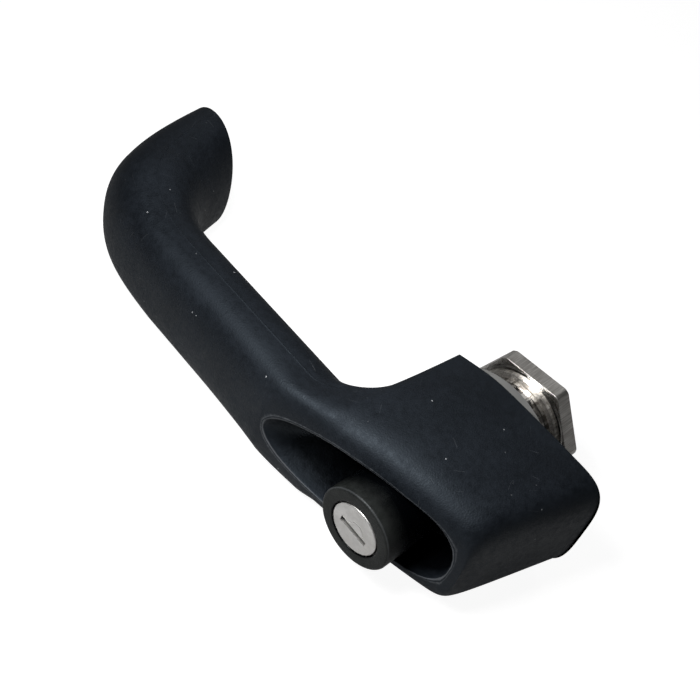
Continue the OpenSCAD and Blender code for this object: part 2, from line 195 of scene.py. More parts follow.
# use marks: in each of the scattered cells a plane through the cell's middle meets the
# surface in a short straight scratch; rubbed patches and dust specks besides
use = dict(patches=(45.0, 3.0, 0.55), patchEdge=(0.46, 0.66), lineSoft=0.3, tail=0.7, shareRun=0.3,
           longMarks=dict(density=120.0, length=0.0032, width=0.00007, share=0.64),
           shortMarks=dict(density=260.0, length=0.0019, width=0.00006, share=0.60),
           spots=420.0, spotShare=(0.74, 0.90), spotEdge=(0.04, 0.12))
useGroup, uIn, uOut = newGroup("useMarks", [
    ("Place", "NodeSocketVector", (0, 0, 0)), ("Scratch", "NodeSocketFloat", 0.5),
    ("Specks", "NodeSocketFloat", 0.5)],
    [("Scratches", "NodeSocketFloat"), ("Dust", "NodeSocketFloat"), ("Rubbed", "NodeSocketFloat")])
uPlace = uIn.outputs["Place"]
patches = ramp(useGroup, noiseAt(useGroup, uPlace, *use["patches"]), *use["patchEdge"])
markLines = []
for mark in (use["longMarks"], use["shortMarks"]):
    width, length, share = mark["width"], mark["length"], mark["share"]
    cell = node(useGroup, "ShaderNodeTexVoronoi", feature="F1", Scale=mark["density"])
    useGroup.links.new(uPlace, cell.inputs["Vector"])
    away = vectorCalc(useGroup, "SUBTRACT", uPlace, cell.outputs["Position"])
    facing = vectorCalc(useGroup, "SUBTRACT", cell.outputs["Color"], (0.5, 0.5, 0.5))
    across = vectorCalc(useGroup, "NORMALIZE", facing)
    offLine = calc(useGroup, "ABSOLUTE", vectorCalc(useGroup, "DOT_PRODUCT", away, across))
    thin = calc(useGroup, "SUBTRACT", 1.0, ramp(useGroup, offLine, width * use["lineSoft"], width))
    ended = ramp(useGroup, vectorCalc(useGroup, "LENGTH", away), length * use["tail"], length)
    near = calc(useGroup, "SUBTRACT", 1.0, ended)
    parts = node(useGroup, "ShaderNodeSeparateColor")
    useGroup.links.new(cell.outputs["Color"], parts.inputs[0])
    kept = ramp(useGroup, parts.outputs[1], share, share + use["shareRun"])
    markLines.append(calc(useGroup, "MULTIPLY", calc(useGroup, "MULTIPLY", thin, near), kept))
inPatches = calc(useGroup, "MULTIPLY", calc(useGroup, "MAXIMUM", *markLines), patches)
useGroup.links.new(calc(useGroup, "MULTIPLY", inPatches, uIn.outputs["Scratch"]), uOut.inputs["Scratches"])
spots = node(useGroup, "ShaderNodeTexVoronoi", feature="F1", Scale=use["spots"])
useGroup.links.new(uPlace, spots.inputs["Vector"])
chosen = ramp(useGroup, spots.outputs["Color"], *use["spotShare"])
dots = calc(useGroup, "SUBTRACT", 1.0, ramp(useGroup, spots.outputs["Distance"], *use["spotEdge"]))
specks = calc(useGroup, "MULTIPLY", dots, chosen)
useGroup.links.new(calc(useGroup, "MULTIPLY", specks, uIn.outputs["Specks"]), uOut.inputs["Dust"])
useGroup.links.new(patches, uOut.inputs["Rubbed"])

# fine lines left by a tool, stretched along one axis of the piece, and soft stains
brush = dict(lineDetail=5.0, lineRough=0.65, stains=(160.0, 4.0, 0.6))
brushGroup, bIn, bOut = newGroup("toolLines", [
    ("Place", "NodeSocketVector", (0, 0, 0)), ("Stretch", "NodeSocketVector", (1, 1, 1)),
    ("Scale", "NodeSocketFloat", 900.0)],
    [("Lines", "NodeSocketFloat"), ("Clouds", "NodeSocketFloat")])
bPlace = bIn.outputs["Place"]
lined = node(brushGroup, "ShaderNodeTexNoise", Detail=brush["lineDetail"], Roughness=brush["lineRough"])
pulled = vectorCalc(brushGroup, "MULTIPLY", bPlace, bIn.outputs["Stretch"])
brushGroup.links.new(pulled, lined.inputs["Vector"])
brushGroup.links.new(bIn.outputs["Scale"], lined.inputs["Scale"])
brushGroup.links.new(lined.outputs[0], bOut.inputs["Lines"])
brushGroup.links.new(noiseAt(brushGroup, bPlace, *brush["stains"]), bOut.inputs["Clouds"])


def newMaterial(name):
    material = bpy.data.materials.new(name)
    material.use_nodes = True
    tree = material.node_tree
    shader = tree.nodes["Principled BSDF"]
    place = tree.nodes.new("ShaderNodeTexCoord").outputs["Object"]
    return material, tree, shader, place


def addGroup(tree, group, place, **values):
    made = tree.nodes.new("ShaderNodeGroup")
    made.node_tree = group
    tree.links.new(place, made.inputs["Place"])
    for key, value in values.items():
        made.inputs[key].default_value = value
    return made


def addBump(tree, shader, height, strength, distance):
    bump = node(tree, "ShaderNodeBump", Strength=strength, Distance=distance)
    tree.links.new(height, bump.inputs["Height"])
    tree.links.new(bump.outputs[0], shader.inputs["Normal"])


def attributeAt(tree, name):
    return node(tree, "ShaderNodeAttribute", attribute_name=name).outputs["Fac"]


def mouldedPlastic(name, look):
    material, tree, shader, place = newMaterial(name)
    grained = addGroup(tree, grainGroup, place, Cells=look["cells"])
    marks = addGroup(tree, useGroup, place, Scratch=look["scratch"], Specks=look["specks"])
    sheen, fleck = grained.outputs["Sheen"], grained.outputs["Fleck"]
    scratches = marks.outputs["Scratches"]
    # painted shade: this mask darkens the recess and the button's side, and makes them smoother
    hollowPaintedShade = attributeAt(tree, "hollowPaintedShade")  # the recess and the button's side
    # colour: flecked clouds, then scratches, dust, rubbed edges, and painted shade that darkens the hollows
    cloud = ramp(tree, calc(tree, "MULTIPLY_ADD", fleck, look["fleck"], sheen), *look["cloudEdge"])
    tone = blendColour(tree, cloud, look["deep"], look["pale"])
    tone = blendColour(tree, calc(tree, "MULTIPLY", scratches, look["scratchTone"]), tone, look["scuff"])
    tone = blendColour(tree, marks.outputs["Dust"], tone, look["dust"])
    broken = calc(tree, "MULTIPLY", noiseAt(tree, place, *look["wearNoise"]), look["wearBreak"])
    worn = ramp(tree, calc(tree, "ADD", attributeAt(tree, "rub"), broken), *look["wearEdge"])
    tone = blendColour(tree, calc(tree, "MULTIPLY", worn, look["wear"]), tone, look["scuff"])
    tree.links.new(blendColour(tree, hollowPaintedShade, tone, look["hollowPaintedShade"]), shader.inputs["Base Color"])
    # gloss: broad and fine swings, smoother where rubbed and in the hollows
    rough = calc(tree, "MULTIPLY_ADD", sheen, look["roughSwing"], look["rough"])
    rough = calc(tree, "MULTIPLY_ADD", marks.outputs["Rubbed"], look["rubRough"], rough)
    rough = calc(tree, "MULTIPLY_ADD", hollowPaintedShade, look["hollowRough"], rough)
    swing = calc(tree, "SUBTRACT", fleck, 0.5)
    tree.links.new(calc(tree, "MULTIPLY_ADD", swing, look["fleckRough"], rough), shader.inputs["Roughness"])
    shader.inputs["Specular IOR Level"].default_value = look["specular"]
    shader.inputs["Specular Tint"].default_value = (*look["tint"], 1.0)
    lift = calc(tree, "MULTIPLY_ADD", scratches, look["scratchDeep"], grained.outputs["Height"])
    addBump(tree, shader, lift, look["bump"], look["bumpHeight"])
    return material


plating = dict(lineEdge=(0.30, 0.72), stainEdge=(0.35, 0.70), polish=-0.7, reflectionPull=(1.0, 0.02, 1.0),
               bumpHeight=0.00005)


def platedMetal(name, look):
    material, tree, shader, place = newMaterial(name)
    lines = addGroup(tree, brushGroup, place, Stretch=look["stretch"], Scale=look["scale"])
    shade = ramp(tree, lines.outputs["Lines"], *plating["lineEdge"])
    cloud = ramp(tree, lines.outputs["Clouds"], *plating["stainEdge"])
    tone = blendColour(tree, shade, look["deep"], look["pale"])
    tone = blendColour(tree, calc(tree, "MULTIPLY", cloud, look["clouds"]), tone, look["stain"])
    if "reflectionBand" in look:
        # painted reflection: dark bands along the axis, on the turned part only
        pulledPlace = vectorCalc(tree, "MULTIPLY", place, plating["reflectionPull"])
        reflectionBands = ramp(tree, noiseAt(tree, pulledPlace, *look["reflectionBandNoise"]), *look["reflectionBandEdge"])
        reflectionBands = calc(tree, "MULTIPLY", reflectionBands, attributeAt(tree, "turned"))
        tone = blendColour(tree, reflectionBands, tone, look["reflectionBand"])
    tree.links.new(tone, shader.inputs["Base Color"])
    shader.inputs["Metallic"].default_value = 1.0
    rough = calc(tree, "MULTIPLY_ADD", shade, look["roughSwing"], look["rough"])
    smoother = calc(tree, "MULTIPLY_ADD", attributeAt(tree, "polish"), plating["polish"], 1.0)
    tree.links.new(calc(tree, "MULTIPLY", rough, smoother), shader.inputs["Roughness"])
    addBump(tree, shader, lines.outputs["Lines"], look["bump"], plating["bumpHeight"])
    return material


plain = dict(cloudEdge=(0.3, 0.7), roughSwing=0.15, bump=0.15, bumpHeight=0.0001)


def plainSolid(name, look):
    material, tree, shader, place = newMaterial(name)
    grained = addGroup(tree, grainGroup, place, Cells=look["cells"])
    cloud = ramp(tree, grained.outputs["Sheen"], *plain["cloudEdge"])
    tree.links.new(blendColour(tree, cloud, look["deep"], look["pale"]), shader.inputs["Base Color"])
    rough = calc(tree, "MULTIPLY_ADD", grained.outputs["Sheen"], plain["roughSwing"], look["rough"])
    tree.links.new(rough, shader.inputs["Roughness"])
    addBump(tree, shader, grained.outputs["Height"], plain["bump"], plain["bumpHeight"])
    return material


# the hollow colour is painted shade for the recess and the button's side
blackLook = dict(deep=(0.0024, 0.0032, 0.0048), pale=(0.0076, 0.0095, 0.0130), scuff=(0.13, 0.137, 0.147),
                 dust=(0.50, 0.51, 0.53), hollowPaintedShade=(0.0006, 0.0008, 0.0012), cloudEdge=(0.77, 1.46),
                 cells=2300.0, fleck=1.2, specks=0.85, scratch=0.5, scratchTone=0.8, scratchDeep=-0.6,
                 wear=0.6, wearNoise=(900.0, 5.0, 0.7), wearBreak=0.7, wearEdge=(0.75, 1.15),
                 rough=0.55, roughSwing=0.10, fleckRough=0.50, rubRough=-0.06, hollowRough=-0.22,
                 specular=0.37, tint=(0.72, 0.86, 1.0), bump=0.55, bumpHeight=0.00012)
buttonLook = dict(blackLook, deep=(0.008, 0.009, 0.0087), pale=(0.022, 0.024, 0.023), tint=(0.95, 1.0, 1.0),
                  rough=0.38, hollowRough=-0.16, fleckRough=0.30, specular=0.16,
                  scratch=0.3, specks=0.6, wear=0.22)
nickelLook = dict(deep=(0.46, 0.44, 0.41), pale=(0.88, 0.86, 0.83), stain=(0.46, 0.44, 0.41), clouds=0.2,
                  stretch=(1.0, 0.05, 1.0), scale=2600.0, rough=0.36, roughSwing=0.12, bump=0.4)
faceLook = dict(deep=(0.74, 0.73, 0.71), pale=(0.90, 0.89, 0.87), stain=(0.60, 0.58, 0.55), clouds=0.5,
                stretch=(1.0, 1.0, 1.0), scale=420.0, rough=0.34, roughSwing=0.14, bump=0.12)
# the chrome's dark bands are painted reflection of the surroundings
chromeLook = dict(deep=(0.50, 0.48, 0.455), pale=(0.62, 0.60, 0.575), stain=(0.42, 0.40, 0.37), clouds=0.2,
                  stretch=(0.04, 1.0, 0.04), scale=3200.0, rough=0.10, roughSwing=0.06, bump=0.05,
                  reflectionBand=(0.22, 0.205, 0.19), reflectionBandNoise=(560.0, 1.0), reflectionBandEdge=(0.50, 0.53))
# the shutter's metal, darkened as painted shade of the slot
shutterShadeLook = dict(nickelLook, deep=(0.07, 0.067, 0.063), pale=(0.15, 0.145, 0.14),
                   stain=(0.05, 0.048, 0.045))
steelLook = dict(nickelLook, deep=(0.36, 0.36, 0.36), pale=(0.52, 0.52, 0.51), rough=0.32, bump=0.15)
zincLook = dict(nickelLook, deep=(0.42, 0.41, 0.39), pale=(0.56, 0.55, 0.53), rough=0.40, bump=0.15)
brassLook = dict(nickelLook, deep=(0.52, 0.36, 0.13), pale=(0.70, 0.52, 0.22), stain=(0.38, 0.25, 0.09),
                 rough=0.30)
paleLook = dict(deep=(0.16, 0.16, 0.155), pale=(0.24, 0.24, 0.235), cells=1500.0, rough=0.42)
rubberLook = dict(deep=(0.010, 0.010, 0.010), pale=(0.022, 0.022, 0.022), cells=1600.0, rough=0.6)
finishes = {
    "black_moulding": mouldedPlastic("blackMoulding", blackLook),
    "button_moulding": mouldedPlastic("buttonMoulding", buttonLook),
    "barrel_chrome": platedMetal("barrelChrome", chromeLook),
    "nickel_steel": platedMetal("nickelSteel", nickelLook),
    "lock_nickel": platedMetal("lockNickel", faceLook),
    "lock_zinc": platedMetal("lockZinc", zincLook),
    "spring_steel": platedMetal("springSteel", steelLook),
    "insert_brass": platedMetal("insertBrass", brassLook),
    "wafer_brass": platedMetal("waferBrass", brassLook),
    "pale_washer": plainSolid("paleWasher", paleLook),
    "seal_rubber": plainSolid("sealRubber", rubberLook)}
for entry in frame["record"]["subparts"]:
    held = cadNodes[entry["node"]].data.materials
    held.clear()
    held.append(finishes[entry["material_slot"]])
# painted shade: the shutter lies deep in the slot, and its metal is painted dark for the shade there
cadNodes["dust_shutter"].data.materials[0] = platedMetal("shutterShadedNickel", shutterShadeLook)
print("finishes:", len(finishes))


# the handle's skin: a squared-off oval carried from the foot round the bend,
# along the grip, through the throat and out to the lock end
handle = dict(pitch=120.2, footLen=23.8, footHalf=21.3, insertR=6.05, insertDeep=16.05,
              fingerRoom=24.8, gripRise=2.0, gripThick=20.8, gripHalf=15.8,
              bendBack=(6.0, 8.4, 25.7), bendBackDrop=0.655, leadShare=0.33, leadRate=0.9, leadPart=0.3,
              bendFore=(2.1, 9.5, 44.0), bendForeDrop=0.775, bendForeLift=2.4,
              throatX=-19.0, throatR=10.0, throatLag=4.0, throatPlan=0.7,
              slope=0.18, frontX=-37.9, frontEnd=24.5, flareX=-48.0, flareSlope=0.114,
              baseHalf=20.0, baseIn=-17.1, baseOut=35.2, endRun=13.1, endPower=4.0, overrun=0.2, pastDoor=2.0,
              planPeak=-5.3, planFall=0.155, planSoftSq=31.8, planSoft=5.64, planLean=0.095,
              browRun=9.0, browPower=4.5, browIn=0.97, browOut=0.853,
              sqFoot=2.15, sqBack=2.54, sqFore=2.72, sqThroat=5.0, sqDoor=15.0, sqBase=6.2,
              squareFrom=1.45, squareOver=2.0, widest=(0.5, 0.33, 0.09),
              seam=0.10, seamWide=0.012, seamFade=0.6)
recess = dict(tip=-36.4, end=21.6, half=12.0, mid=3.0, tipPower=2.4, endPower=3.8,
              floorTip=-17.2, floorEnd=18.6, floorY=-23.5, guideY=-18.0, boreR=11.46,
              cupR=15.05, cupY=-0.4, backLip=0.2, footLevel=0.90, footReach=0.3,
              rimRound=0.8, rimShare=0.6, rimEven=0.45,
              rubIn=(0.12, 0.3, 0.5, 0.7), rubMid=0.45, rubWide=0.25, shadeRows=5)
footIn = handle["footLen"] / 2 - handle["pitch"]
footOut = -handle["footLen"] / 2 - handle["pitch"]
backA = -handle["fingerRoom"]
backB = backA - handle["gripRise"]
foreA = backA - handle["gripThick"]
foreB = backB - handle["gripThick"]


def frontPlane(x):
    # y of the front: a straight line that slopes towards the door at the lock end
    return foreB + handle["slope"] * (x - handle["frontX"])


def bezier(points, t):
    # cubic curve from the first to the last of four points, drawn towards the two between
    p = np.asarray(points, float)
    t = t[:, None]
    return (1 - t) ** 3 * p[0] + 3 * t * (1 - t) ** 2 * p[1] + 3 * t * t * (1 - t) * p[2] + t ** 3 * p[3]


def basePlan(x):
    # half-width at the door side: a soft peak, a hyperbola, with a gentle lean
    d = x - handle["planPeak"]
    fall = handle["planFall"] * (np.sqrt(d * d + handle["planSoftSq"]) - handle["planSoft"])
    return handle["baseHalf"] - fall + handle["planLean"] * d


def baseBrow(q):
    # half-width along the brow: a parabola through the widths at its start, middle and end
    ends = handle["browIn"] * (1 - q) * (1 - 2 * q) + handle["browOut"] * q * (2 * q - 1)
    return handle["baseHalf"] * (ends + 4 * q * (1 - q))


def frontHalf(x):
    # half-width along the front, from the grip's to the brow's start with a smooth slope
    span = handle["baseIn"] - handle["flareX"]
    t = np.clip((x - handle["flareX"]) / span, 0, 1)
    rise = baseBrow(0.0) - handle["gripHalf"]
    return handle["gripHalf"] + rise * ease(t) + handle["flareSlope"] * span * t * t * (t - 1)


def roundOff(x, end, run, power):
    # falls from 1 to 0 over the last stretch, as a squared-off quarter oval
    return (1 - np.clip((x - end + run) / run, 0, 1) ** power) ** (1 / power)


def baseShare(u):
    # share of the base's length that is passed, closer steps towards the lock end
    return np.sin(np.clip(u - 4, 0, 1) * np.pi / 2)


def railAt(u):
    # u runs 0 to 1 round the bend, to 2 along the grip, to 3 through the throat,
    # to 4 down the throat's side and to 5 along the base
    u = np.asarray(u, float)
    bendT = np.clip(u, 0, 1)
    gripT = np.clip(u - 1, 0, 1)[:, None]
    throatT = np.clip(u - 2, 0, 1)
    throatA = throatT * np.pi / 2
    sideT = np.clip(u - 3, 0, 1)
    baseT = baseShare(u)
    part = np.clip(np.floor(u), 0, 4).astype(int)
    pick = lambda *choices: np.choose(part, [np.broadcast_to(c, u.shape) for c in choices])
    throatR, throatX = handle["throatR"], handle["throatX"]
    gripHalf, baseIn = handle["gripHalf"], handle["baseIn"]
    # the back rail and the front rail, in x and y
    backX1, backX2, backX3 = footIn + np.array(handle["bendBack"])
    bendIn = [(footIn, 0), (backX1, handle["bendBackDrop"] * backA), (backX2, backA), (backX3, backA)]
    foreX1, foreX2, foreX3 = footOut + np.array(handle["bendFore"])
    bendOut = [(footOut, 0), (foreX1, handle["bendForeDrop"] * foreA),
               (foreX2, foreA + handle["bendForeLift"]), (foreX3, foreA)]
    gripFrontX = mix(foreX3, handle["frontX"], gripT[:, 0])
    throatFrontX = mix(handle["frontX"], throatX - handle["throatLag"], throatT)
    sideFrontX = mix(throatX - handle["throatLag"], baseIn, sideT)
    baseX = mix(baseIn, handle["baseOut"], baseT)
    baseFrontX = mix(baseIn, handle["frontEnd"], baseT)
    back = [bezier(bendIn, bendT), mix(np.array(bendIn[3]), np.array([throatX - throatR, backB]), gripT),
            np.c_[throatX - throatR + throatR * np.sin(throatA), backB + throatR * (1 - np.cos(throatA))],
            np.c_[mix(throatX, baseIn + handle["overrun"], sideT),
                  mix(backB + throatR, handle["pastDoor"], sideT)],
            np.c_[baseX + handle["overrun"], np.full_like(u, handle["pastDoor"])]]
    fore = [bezier(bendOut, bendT), mix(np.array(bendOut[3]), np.array([handle["frontX"], foreB]), gripT),
            np.c_[throatFrontX, frontPlane(throatFrontX)], np.c_[sideFrontX, frontPlane(sideFrontX)],
            np.c_[baseFrontX, frontPlane(baseFrontX)]]
    # half-widths at both rails
    grow = ease(throatT)
    lead = handle["leadShare"]
    square = np.clip((bendT - lead) / (1 - lead), 0, 1)
    wide = np.where(bendT < lead, handle["leadRate"] * bendT, mix(handle["leadPart"], 1.0, ease(square)))
    bendHalf = mix(handle["footHalf"], gripHalf, wide)
    planIn = basePlan(np.array(baseIn))
    closeBack = roundOff(baseX, handle["baseOut"], handle["endRun"], handle["endPower"])
    closeFore = roundOff(baseFrontX, handle["frontEnd"], handle["browRun"], handle["browPower"])
    halfBack = pick(bendHalf, gripHalf, mix(gripHalf, planIn, handle["throatPlan"] * grow),
                    mix(gripHalf, planIn, mix(handle["throatPlan"], 1.0, sideT)), closeBack * basePlan(baseX))
    halfFore = pick(bendHalf, frontHalf(gripFrontX), frontHalf(throatFrontX), frontHalf(sideFrontX),
                    closeFore * baseBrow(baseT))
    # where the oval is widest, and how square its two halves are
    squareOff = ease(np.clip((u - handle["squareFrom"]) / handle["squareOver"], 0, 1))
    squareOff = mix(handle["sqFore"], handle["sqBase"], squareOff)
    atGrip, atThroat, atBase = handle["widest"]
    widest = pick(atGrip, atGrip, mix(atGrip, atThroat, grow), mix(atThroat, atBase, sideT), atBase)
    sqBack = pick(mix(handle["sqFoot"], handle["sqBack"], square), handle["sqBack"],
                  mix(handle["sqBack"], handle["sqThroat"], grow),
                  mix(handle["sqThroat"], handle["sqDoor"], sideT), handle["sqDoor"])
    sqFore = pick(mix(handle["sqFoot"], handle["sqFore"], square), squareOff, squareOff, squareOff,
                  handle["sqBase"])
    backX, backY = pick(*[b[:, 0] for b in back]), pick(*[b[:, 1] for b in back])
    foreX, foreY = pick(*[f[:, 0] for f in fore]), pick(*[f[:, 1] for f in fore])
    return backX, backY, foreX, foreY, halfBack, halfFore, widest, sqBack, sqFore


def skinAt(u, phi):
    # a point of the skin, on a squared-off oval from the front rail, phi 0, to the door side,
    # 180 degrees; a narrow ridge is the seam, and the door plane trims it
    shape = np.broadcast(u, phi).shape
    u, phi = np.broadcast_to(u, shape).ravel(), np.broadcast_to(phi, shape).ravel()
    backX, backY, foreX, foreY, halfBack, halfFore, widest, sqBack, sqFore = railAt(u)
    c, s = np.cos(phi), np.sin(phi)
    power = 2 / np.where(c < 0, sqBack, sqFore)
    d, h = signedPower(c, power), signedPower(s, power)
    t = np.where(d < 0, widest * (1 + d), widest + d * (1 - widest))
    w = mix(halfBack, halfFore, np.clip((t - widest) / (1 - widest), 0, 1))
    ridge = np.exp(-(d / handle["seamWide"]) ** 2) * np.clip((4 - u) / handle["seamFade"], 0, 1)
    z = h * w + np.sign(h) * handle["seam"] * ridge
    y = np.minimum(mix(backY, foreY, t), 0.0)
    return np.stack([mix(backX, foreX, t), y, z], axis=-1).reshape(*shape, 3)


def eggAt(a, level):
    # the thumb recess: an egg outline at each level from the rim, 0, to the floor, 1
    c, s = np.cos(a), np.sin(a)
    tip = mix(recess["tip"], recess["floorTip"], level)
    end = mix(recess["end"], recess["floorEnd"], level)
    x = np.where(c < 0, recess["mid"] - (recess["mid"] - tip) * np.abs(c) ** (2 / recess["tipPower"]),
                 recess["mid"] + (end - recess["mid"]) * np.abs(c) ** (2 / recess["endPower"]))
    return np.stack([x, mix(frontPlane(x), recess["floorY"], level), recess["half"] * s], axis=-1)


def circleAt(a, r, y):
    # points at the angles a on a circle round the lock axis
    return np.stack([r * np.cos(a), np.full_like(a, y), r * np.sin(a)], axis=-1)


def stepsTo(count):
    # even steps up to 1, without the start
    return np.linspace(0, 1, count + 1)[1:, None, None]


# stations along the five stretches, and angles round the skin that lie closer at the seam
skinSteps = dict(stretches=(60, 40, 40, 16, 80), front=12, flank=28, flankPhi=80.0, nearSeam=9,
                 seamPhi=(89.0, 89.6, 89.85, 90.0, 90.15, 90.4, 91.0), behindPhi=92.0, behind=45)
window = dict(sidePhi=24.0, firstU=1.80, lastX=23.4, backPhi=160.0, backRows=(1, 33))
wellRows = dict(band=15, turn=8, wall=18, foot=5, floor=3, bore=3)
patchRows = dict(back=5, footFace=8, footHole=2)
stretches = [np.linspace(k, k + 1, n, endpoint=False) for k, n in enumerate(skinSteps["stretches"])]
stationU = np.concatenate([*stretches, [len(stretches)]])
halfTurn = np.concatenate([
    np.linspace(0, window["sidePhi"], skinSteps["front"], endpoint=False),
    np.linspace(window["sidePhi"], skinSteps["flankPhi"], skinSteps["flank"], endpoint=False),
    np.linspace(skinSteps["flankPhi"], skinSteps["seamPhi"][0], skinSteps["nearSeam"], endpoint=False),
    skinSteps["seamPhi"], np.linspace(skinSteps["behindPhi"], 180, skinSteps["behind"])])
phiRing = np.radians(np.concatenate([halfTurn, -halfTurn[-2:0:-1]]))
rows, cols = len(stationU), len(phiRing)
skin = skinAt(stationU[:, None], phiRing[None, :])
skinQuads = gridQuads(rows, cols)

# a window is left open in the skin round the recess, and one at the back round the barrel
sideCol = int(np.argmin(np.abs(halfTurn - window["sidePhi"])))
firstRow = int(np.argmin(np.abs(stationU - window["firstU"])))
stationX = mix(handle["baseIn"], handle["frontEnd"], baseShare(stationU))
lastRow = int(np.searchsorted(stationX, window["lastX"]))
quadRow, quadCol = np.divmod(np.arange(len(skinQuads)), cols)
inWindow = (quadRow >= firstRow) & (quadRow < lastRow) & ((quadCol < sideCol) | (quadCol >= cols - sideCol))
backCol = int(np.argmin(np.abs(halfTurn - window["backPhi"])))
backFirst, backLast = sum(skinSteps["stretches"][:4]) + np.array(window["backRows"])
atBack = (quadRow >= backFirst) & (quadRow < backLast) & (quadCol >= backCol) & (quadCol < cols - backCol)
skinQuads = skinQuads[~inWindow & ~atBack]
rowSpan, colSpan = np.arange(firstRow, lastRow), np.arange(-sideCol, sideCol)
loopRow = np.concatenate([rowSpan, np.full(len(colSpan), lastRow),
                          rowSpan[::-1] + 1, np.full(len(colSpan), firstRow)])
loopCol = np.concatenate([np.full(len(rowSpan), -sideCol), colSpan,
                          np.full(len(rowSpan), sideCol), colSpan[::-1] + 1])
loopU, loopPhi = stationU[loopRow], phiRing[loopCol % cols]
loopPoint = skin[loopRow, loopCol % cols]

# each window point is joined to the rim point in about the same direction
fromMid = loopPoint[:, 0] - recess["mid"]
reach = np.where(fromMid < 0, recess["mid"] - recess["tip"], recess["end"] - recess["mid"])
bearing = np.unwrap(np.arctan2(loopPoint[:, 2] / recess["half"], fromMid / reach))
fullTurn = np.sign(bearing[-1] - bearing[0]) * 2 * np.pi
even = np.linspace(bearing[0], bearing[0] + fullTurn, len(bearing), endpoint=False)
rimA = mix(bearing, even, recess["rimEven"])
rimTarget = eggAt(rimA, 0.0)
# the rim's place on the skin: the nearest of a coarse grid, then damped Newton steps on u and phi
rimFit = dict(lowU=1.7, gridEnd=4.9, highU=4.95, gridTurn=40.0, gridRows=161, gridCols=81,
              turn=0.9, nudge=1e-4, damp=0.8, steps=12)
along = np.linspace(rimFit["lowU"], rimFit["gridEnd"], rimFit["gridRows"])
sweep = np.radians(np.linspace(-rimFit["gridTurn"], rimFit["gridTurn"], rimFit["gridCols"]))
gridU, gridPhi = np.meshgrid(along, sweep, indexing="ij")
coarse = skinAt(gridU, gridPhi)
nearest = ((coarse[..., 0].ravel()[None] - rimTarget[:, :1]) ** 2
           + (coarse[..., 2].ravel()[None] - rimTarget[:, 2:]) ** 2).argmin(1)
rimU, rimPhi = gridU.ravel()[nearest], gridPhi.ravel()[nearest]
for step in range(rimFit["steps"]):
    here = skinAt(rimU, rimPhi)[:, [0, 2]]
    alongU = (skinAt(rimU + rimFit["nudge"], rimPhi)[:, [0, 2]] - here) / rimFit["nudge"]
    alongPhi = (skinAt(rimU, rimPhi + rimFit["nudge"])[:, [0, 2]] - here) / rimFit["nudge"]
    missed = rimTarget[:, [0, 2]] - here
    det = alongU[:, 0] * alongPhi[:, 1] - alongU[:, 1] * alongPhi[:, 0]
    det = np.where(np.abs(det) < 1e-6, 1e-6, det)
    stepU = rimFit["damp"] * (missed[:, 0] * alongPhi[:, 1] - missed[:, 1] * alongPhi[:, 0]) / det
    stepPhi = rimFit["damp"] * (alongU[:, 0] * missed[:, 1] - alongU[:, 1] * missed[:, 0]) / det
    rimU = np.clip(rimU + stepU, rimFit["lowU"], rimFit["highU"])
    rimPhi = np.clip(rimPhi + stepPhi, -rimFit["turn"], rimFit["turn"])
rimPoint = skinAt(rimU, rimPhi)
rimMiss = float(np.abs(rimPoint[:, [0, 2]] - rimTarget[:, [0, 2]]).max())
print("rim fitted to the skin within", round(rimMiss, 4), "mm")

# front band: from the window's edge to where the rim starts to turn in
bandT = np.linspace(0, 1, wellRows["band"])
flat = np.hypot(loopPoint[:, 0] - rimPoint[:, 0], loopPoint[:, 2] - rimPoint[:, 2])
stop = 1 - np.clip(recess["rimRound"] / np.maximum(flat, 1e-6), 0, recess["rimShare"])
share = bandT[:, None] * stop[None]
band = skinAt(mix(loopU, rimU, share), mix(loopPhi, rimPhi, share))
band[0] = loopPoint
# rim round-over: a quadratic curve from the band, bent at the rim, to the wall
turnT = stepsTo(wellRows["turn"])
wallDrop = recess["rimRound"] / np.maximum(recess["floorY"] - rimPoint[:, 1], 1)
wallTop = eggAt(rimA, wallDrop)
turn = (1 - turnT) ** 2 * band[-1] + 2 * turnT * (1 - turnT) * rimPoint + turnT ** 2 * wallTop
# wall down to the floor, a round foot, the floor, the guide bore and the cup behind it
wallLevel = mix(wallDrop[None], recess["footLevel"], stepsTo(wellRows["wall"])[:, 0])
wall = eggAt(np.broadcast_to(rimA, wallLevel.shape), wallLevel)
floorLine = eggAt(rimA, 1.0)
boreAngle = np.arctan2(floorLine[:, 2], floorLine[:, 0])
bore = circleAt(boreAngle, recess["boreR"], recess["floorY"])
footT = stepsTo(wellRows["foot"])
footEnd = mix(floorLine, bore, recess["footReach"])
foot = (1 - footT) ** 2 * wall[-1] + 2 * footT * (1 - footT) * floorLine + footT ** 2 * footEnd
flatFloor = mix(footEnd, bore, stepsTo(wellRows["floor"]))
boreDeep = mix(bore, circleAt(boreAngle, recess["boreR"], recess["guideY"]), stepsTo(wellRows["bore"]))
cup = np.stack([circleAt(boreAngle, recess["cupR"], y) for y in (recess["guideY"], recess["cupY"])])
well = np.concatenate([band, turn, wall, foot, flatFloor, boreDeep, cup])
# the rim is rubbed pale, and painted shade soon darkens the wall
turnStart, wallStart = len(band), len(band) + len(turn)
wellRub = np.zeros(len(well))
wellRub[turnStart - len(recess["rubIn"]):turnStart] = recess["rubIn"]
wellRub[turnStart:wallStart] = np.exp(-((turnT.ravel() - recess["rubMid"]) / recess["rubWide"]) ** 2)
wellPaintedShade = np.clip((np.arange(len(well)) - wallStart + 1) / recess["shadeRows"], 0, 1)

# back of the base: from a window in the skin to the hole for the lock barrel
rowSpan, colSpan = np.arange(backFirst, backLast), np.arange(backCol, cols - backCol)
backLoop = np.concatenate([skin[rowSpan, backCol], skin[backLast, colSpan],
                           skin[rowSpan[::-1] + 1, cols - backCol], skin[backFirst, colSpan[::-1] + 1]])
backAngle = np.arctan2(backLoop[:, 2], backLoop[:, 0])
backHole = circleAt(backAngle, recess["cupR"], 0.0)
backFace = mix(backLoop, backHole, np.linspace(0, 1, patchRows["back"])[:, None, None])
backPatch = np.concatenate([backFace, circleAt(backAngle, recess["cupR"], -recess["backLip"])[None]])

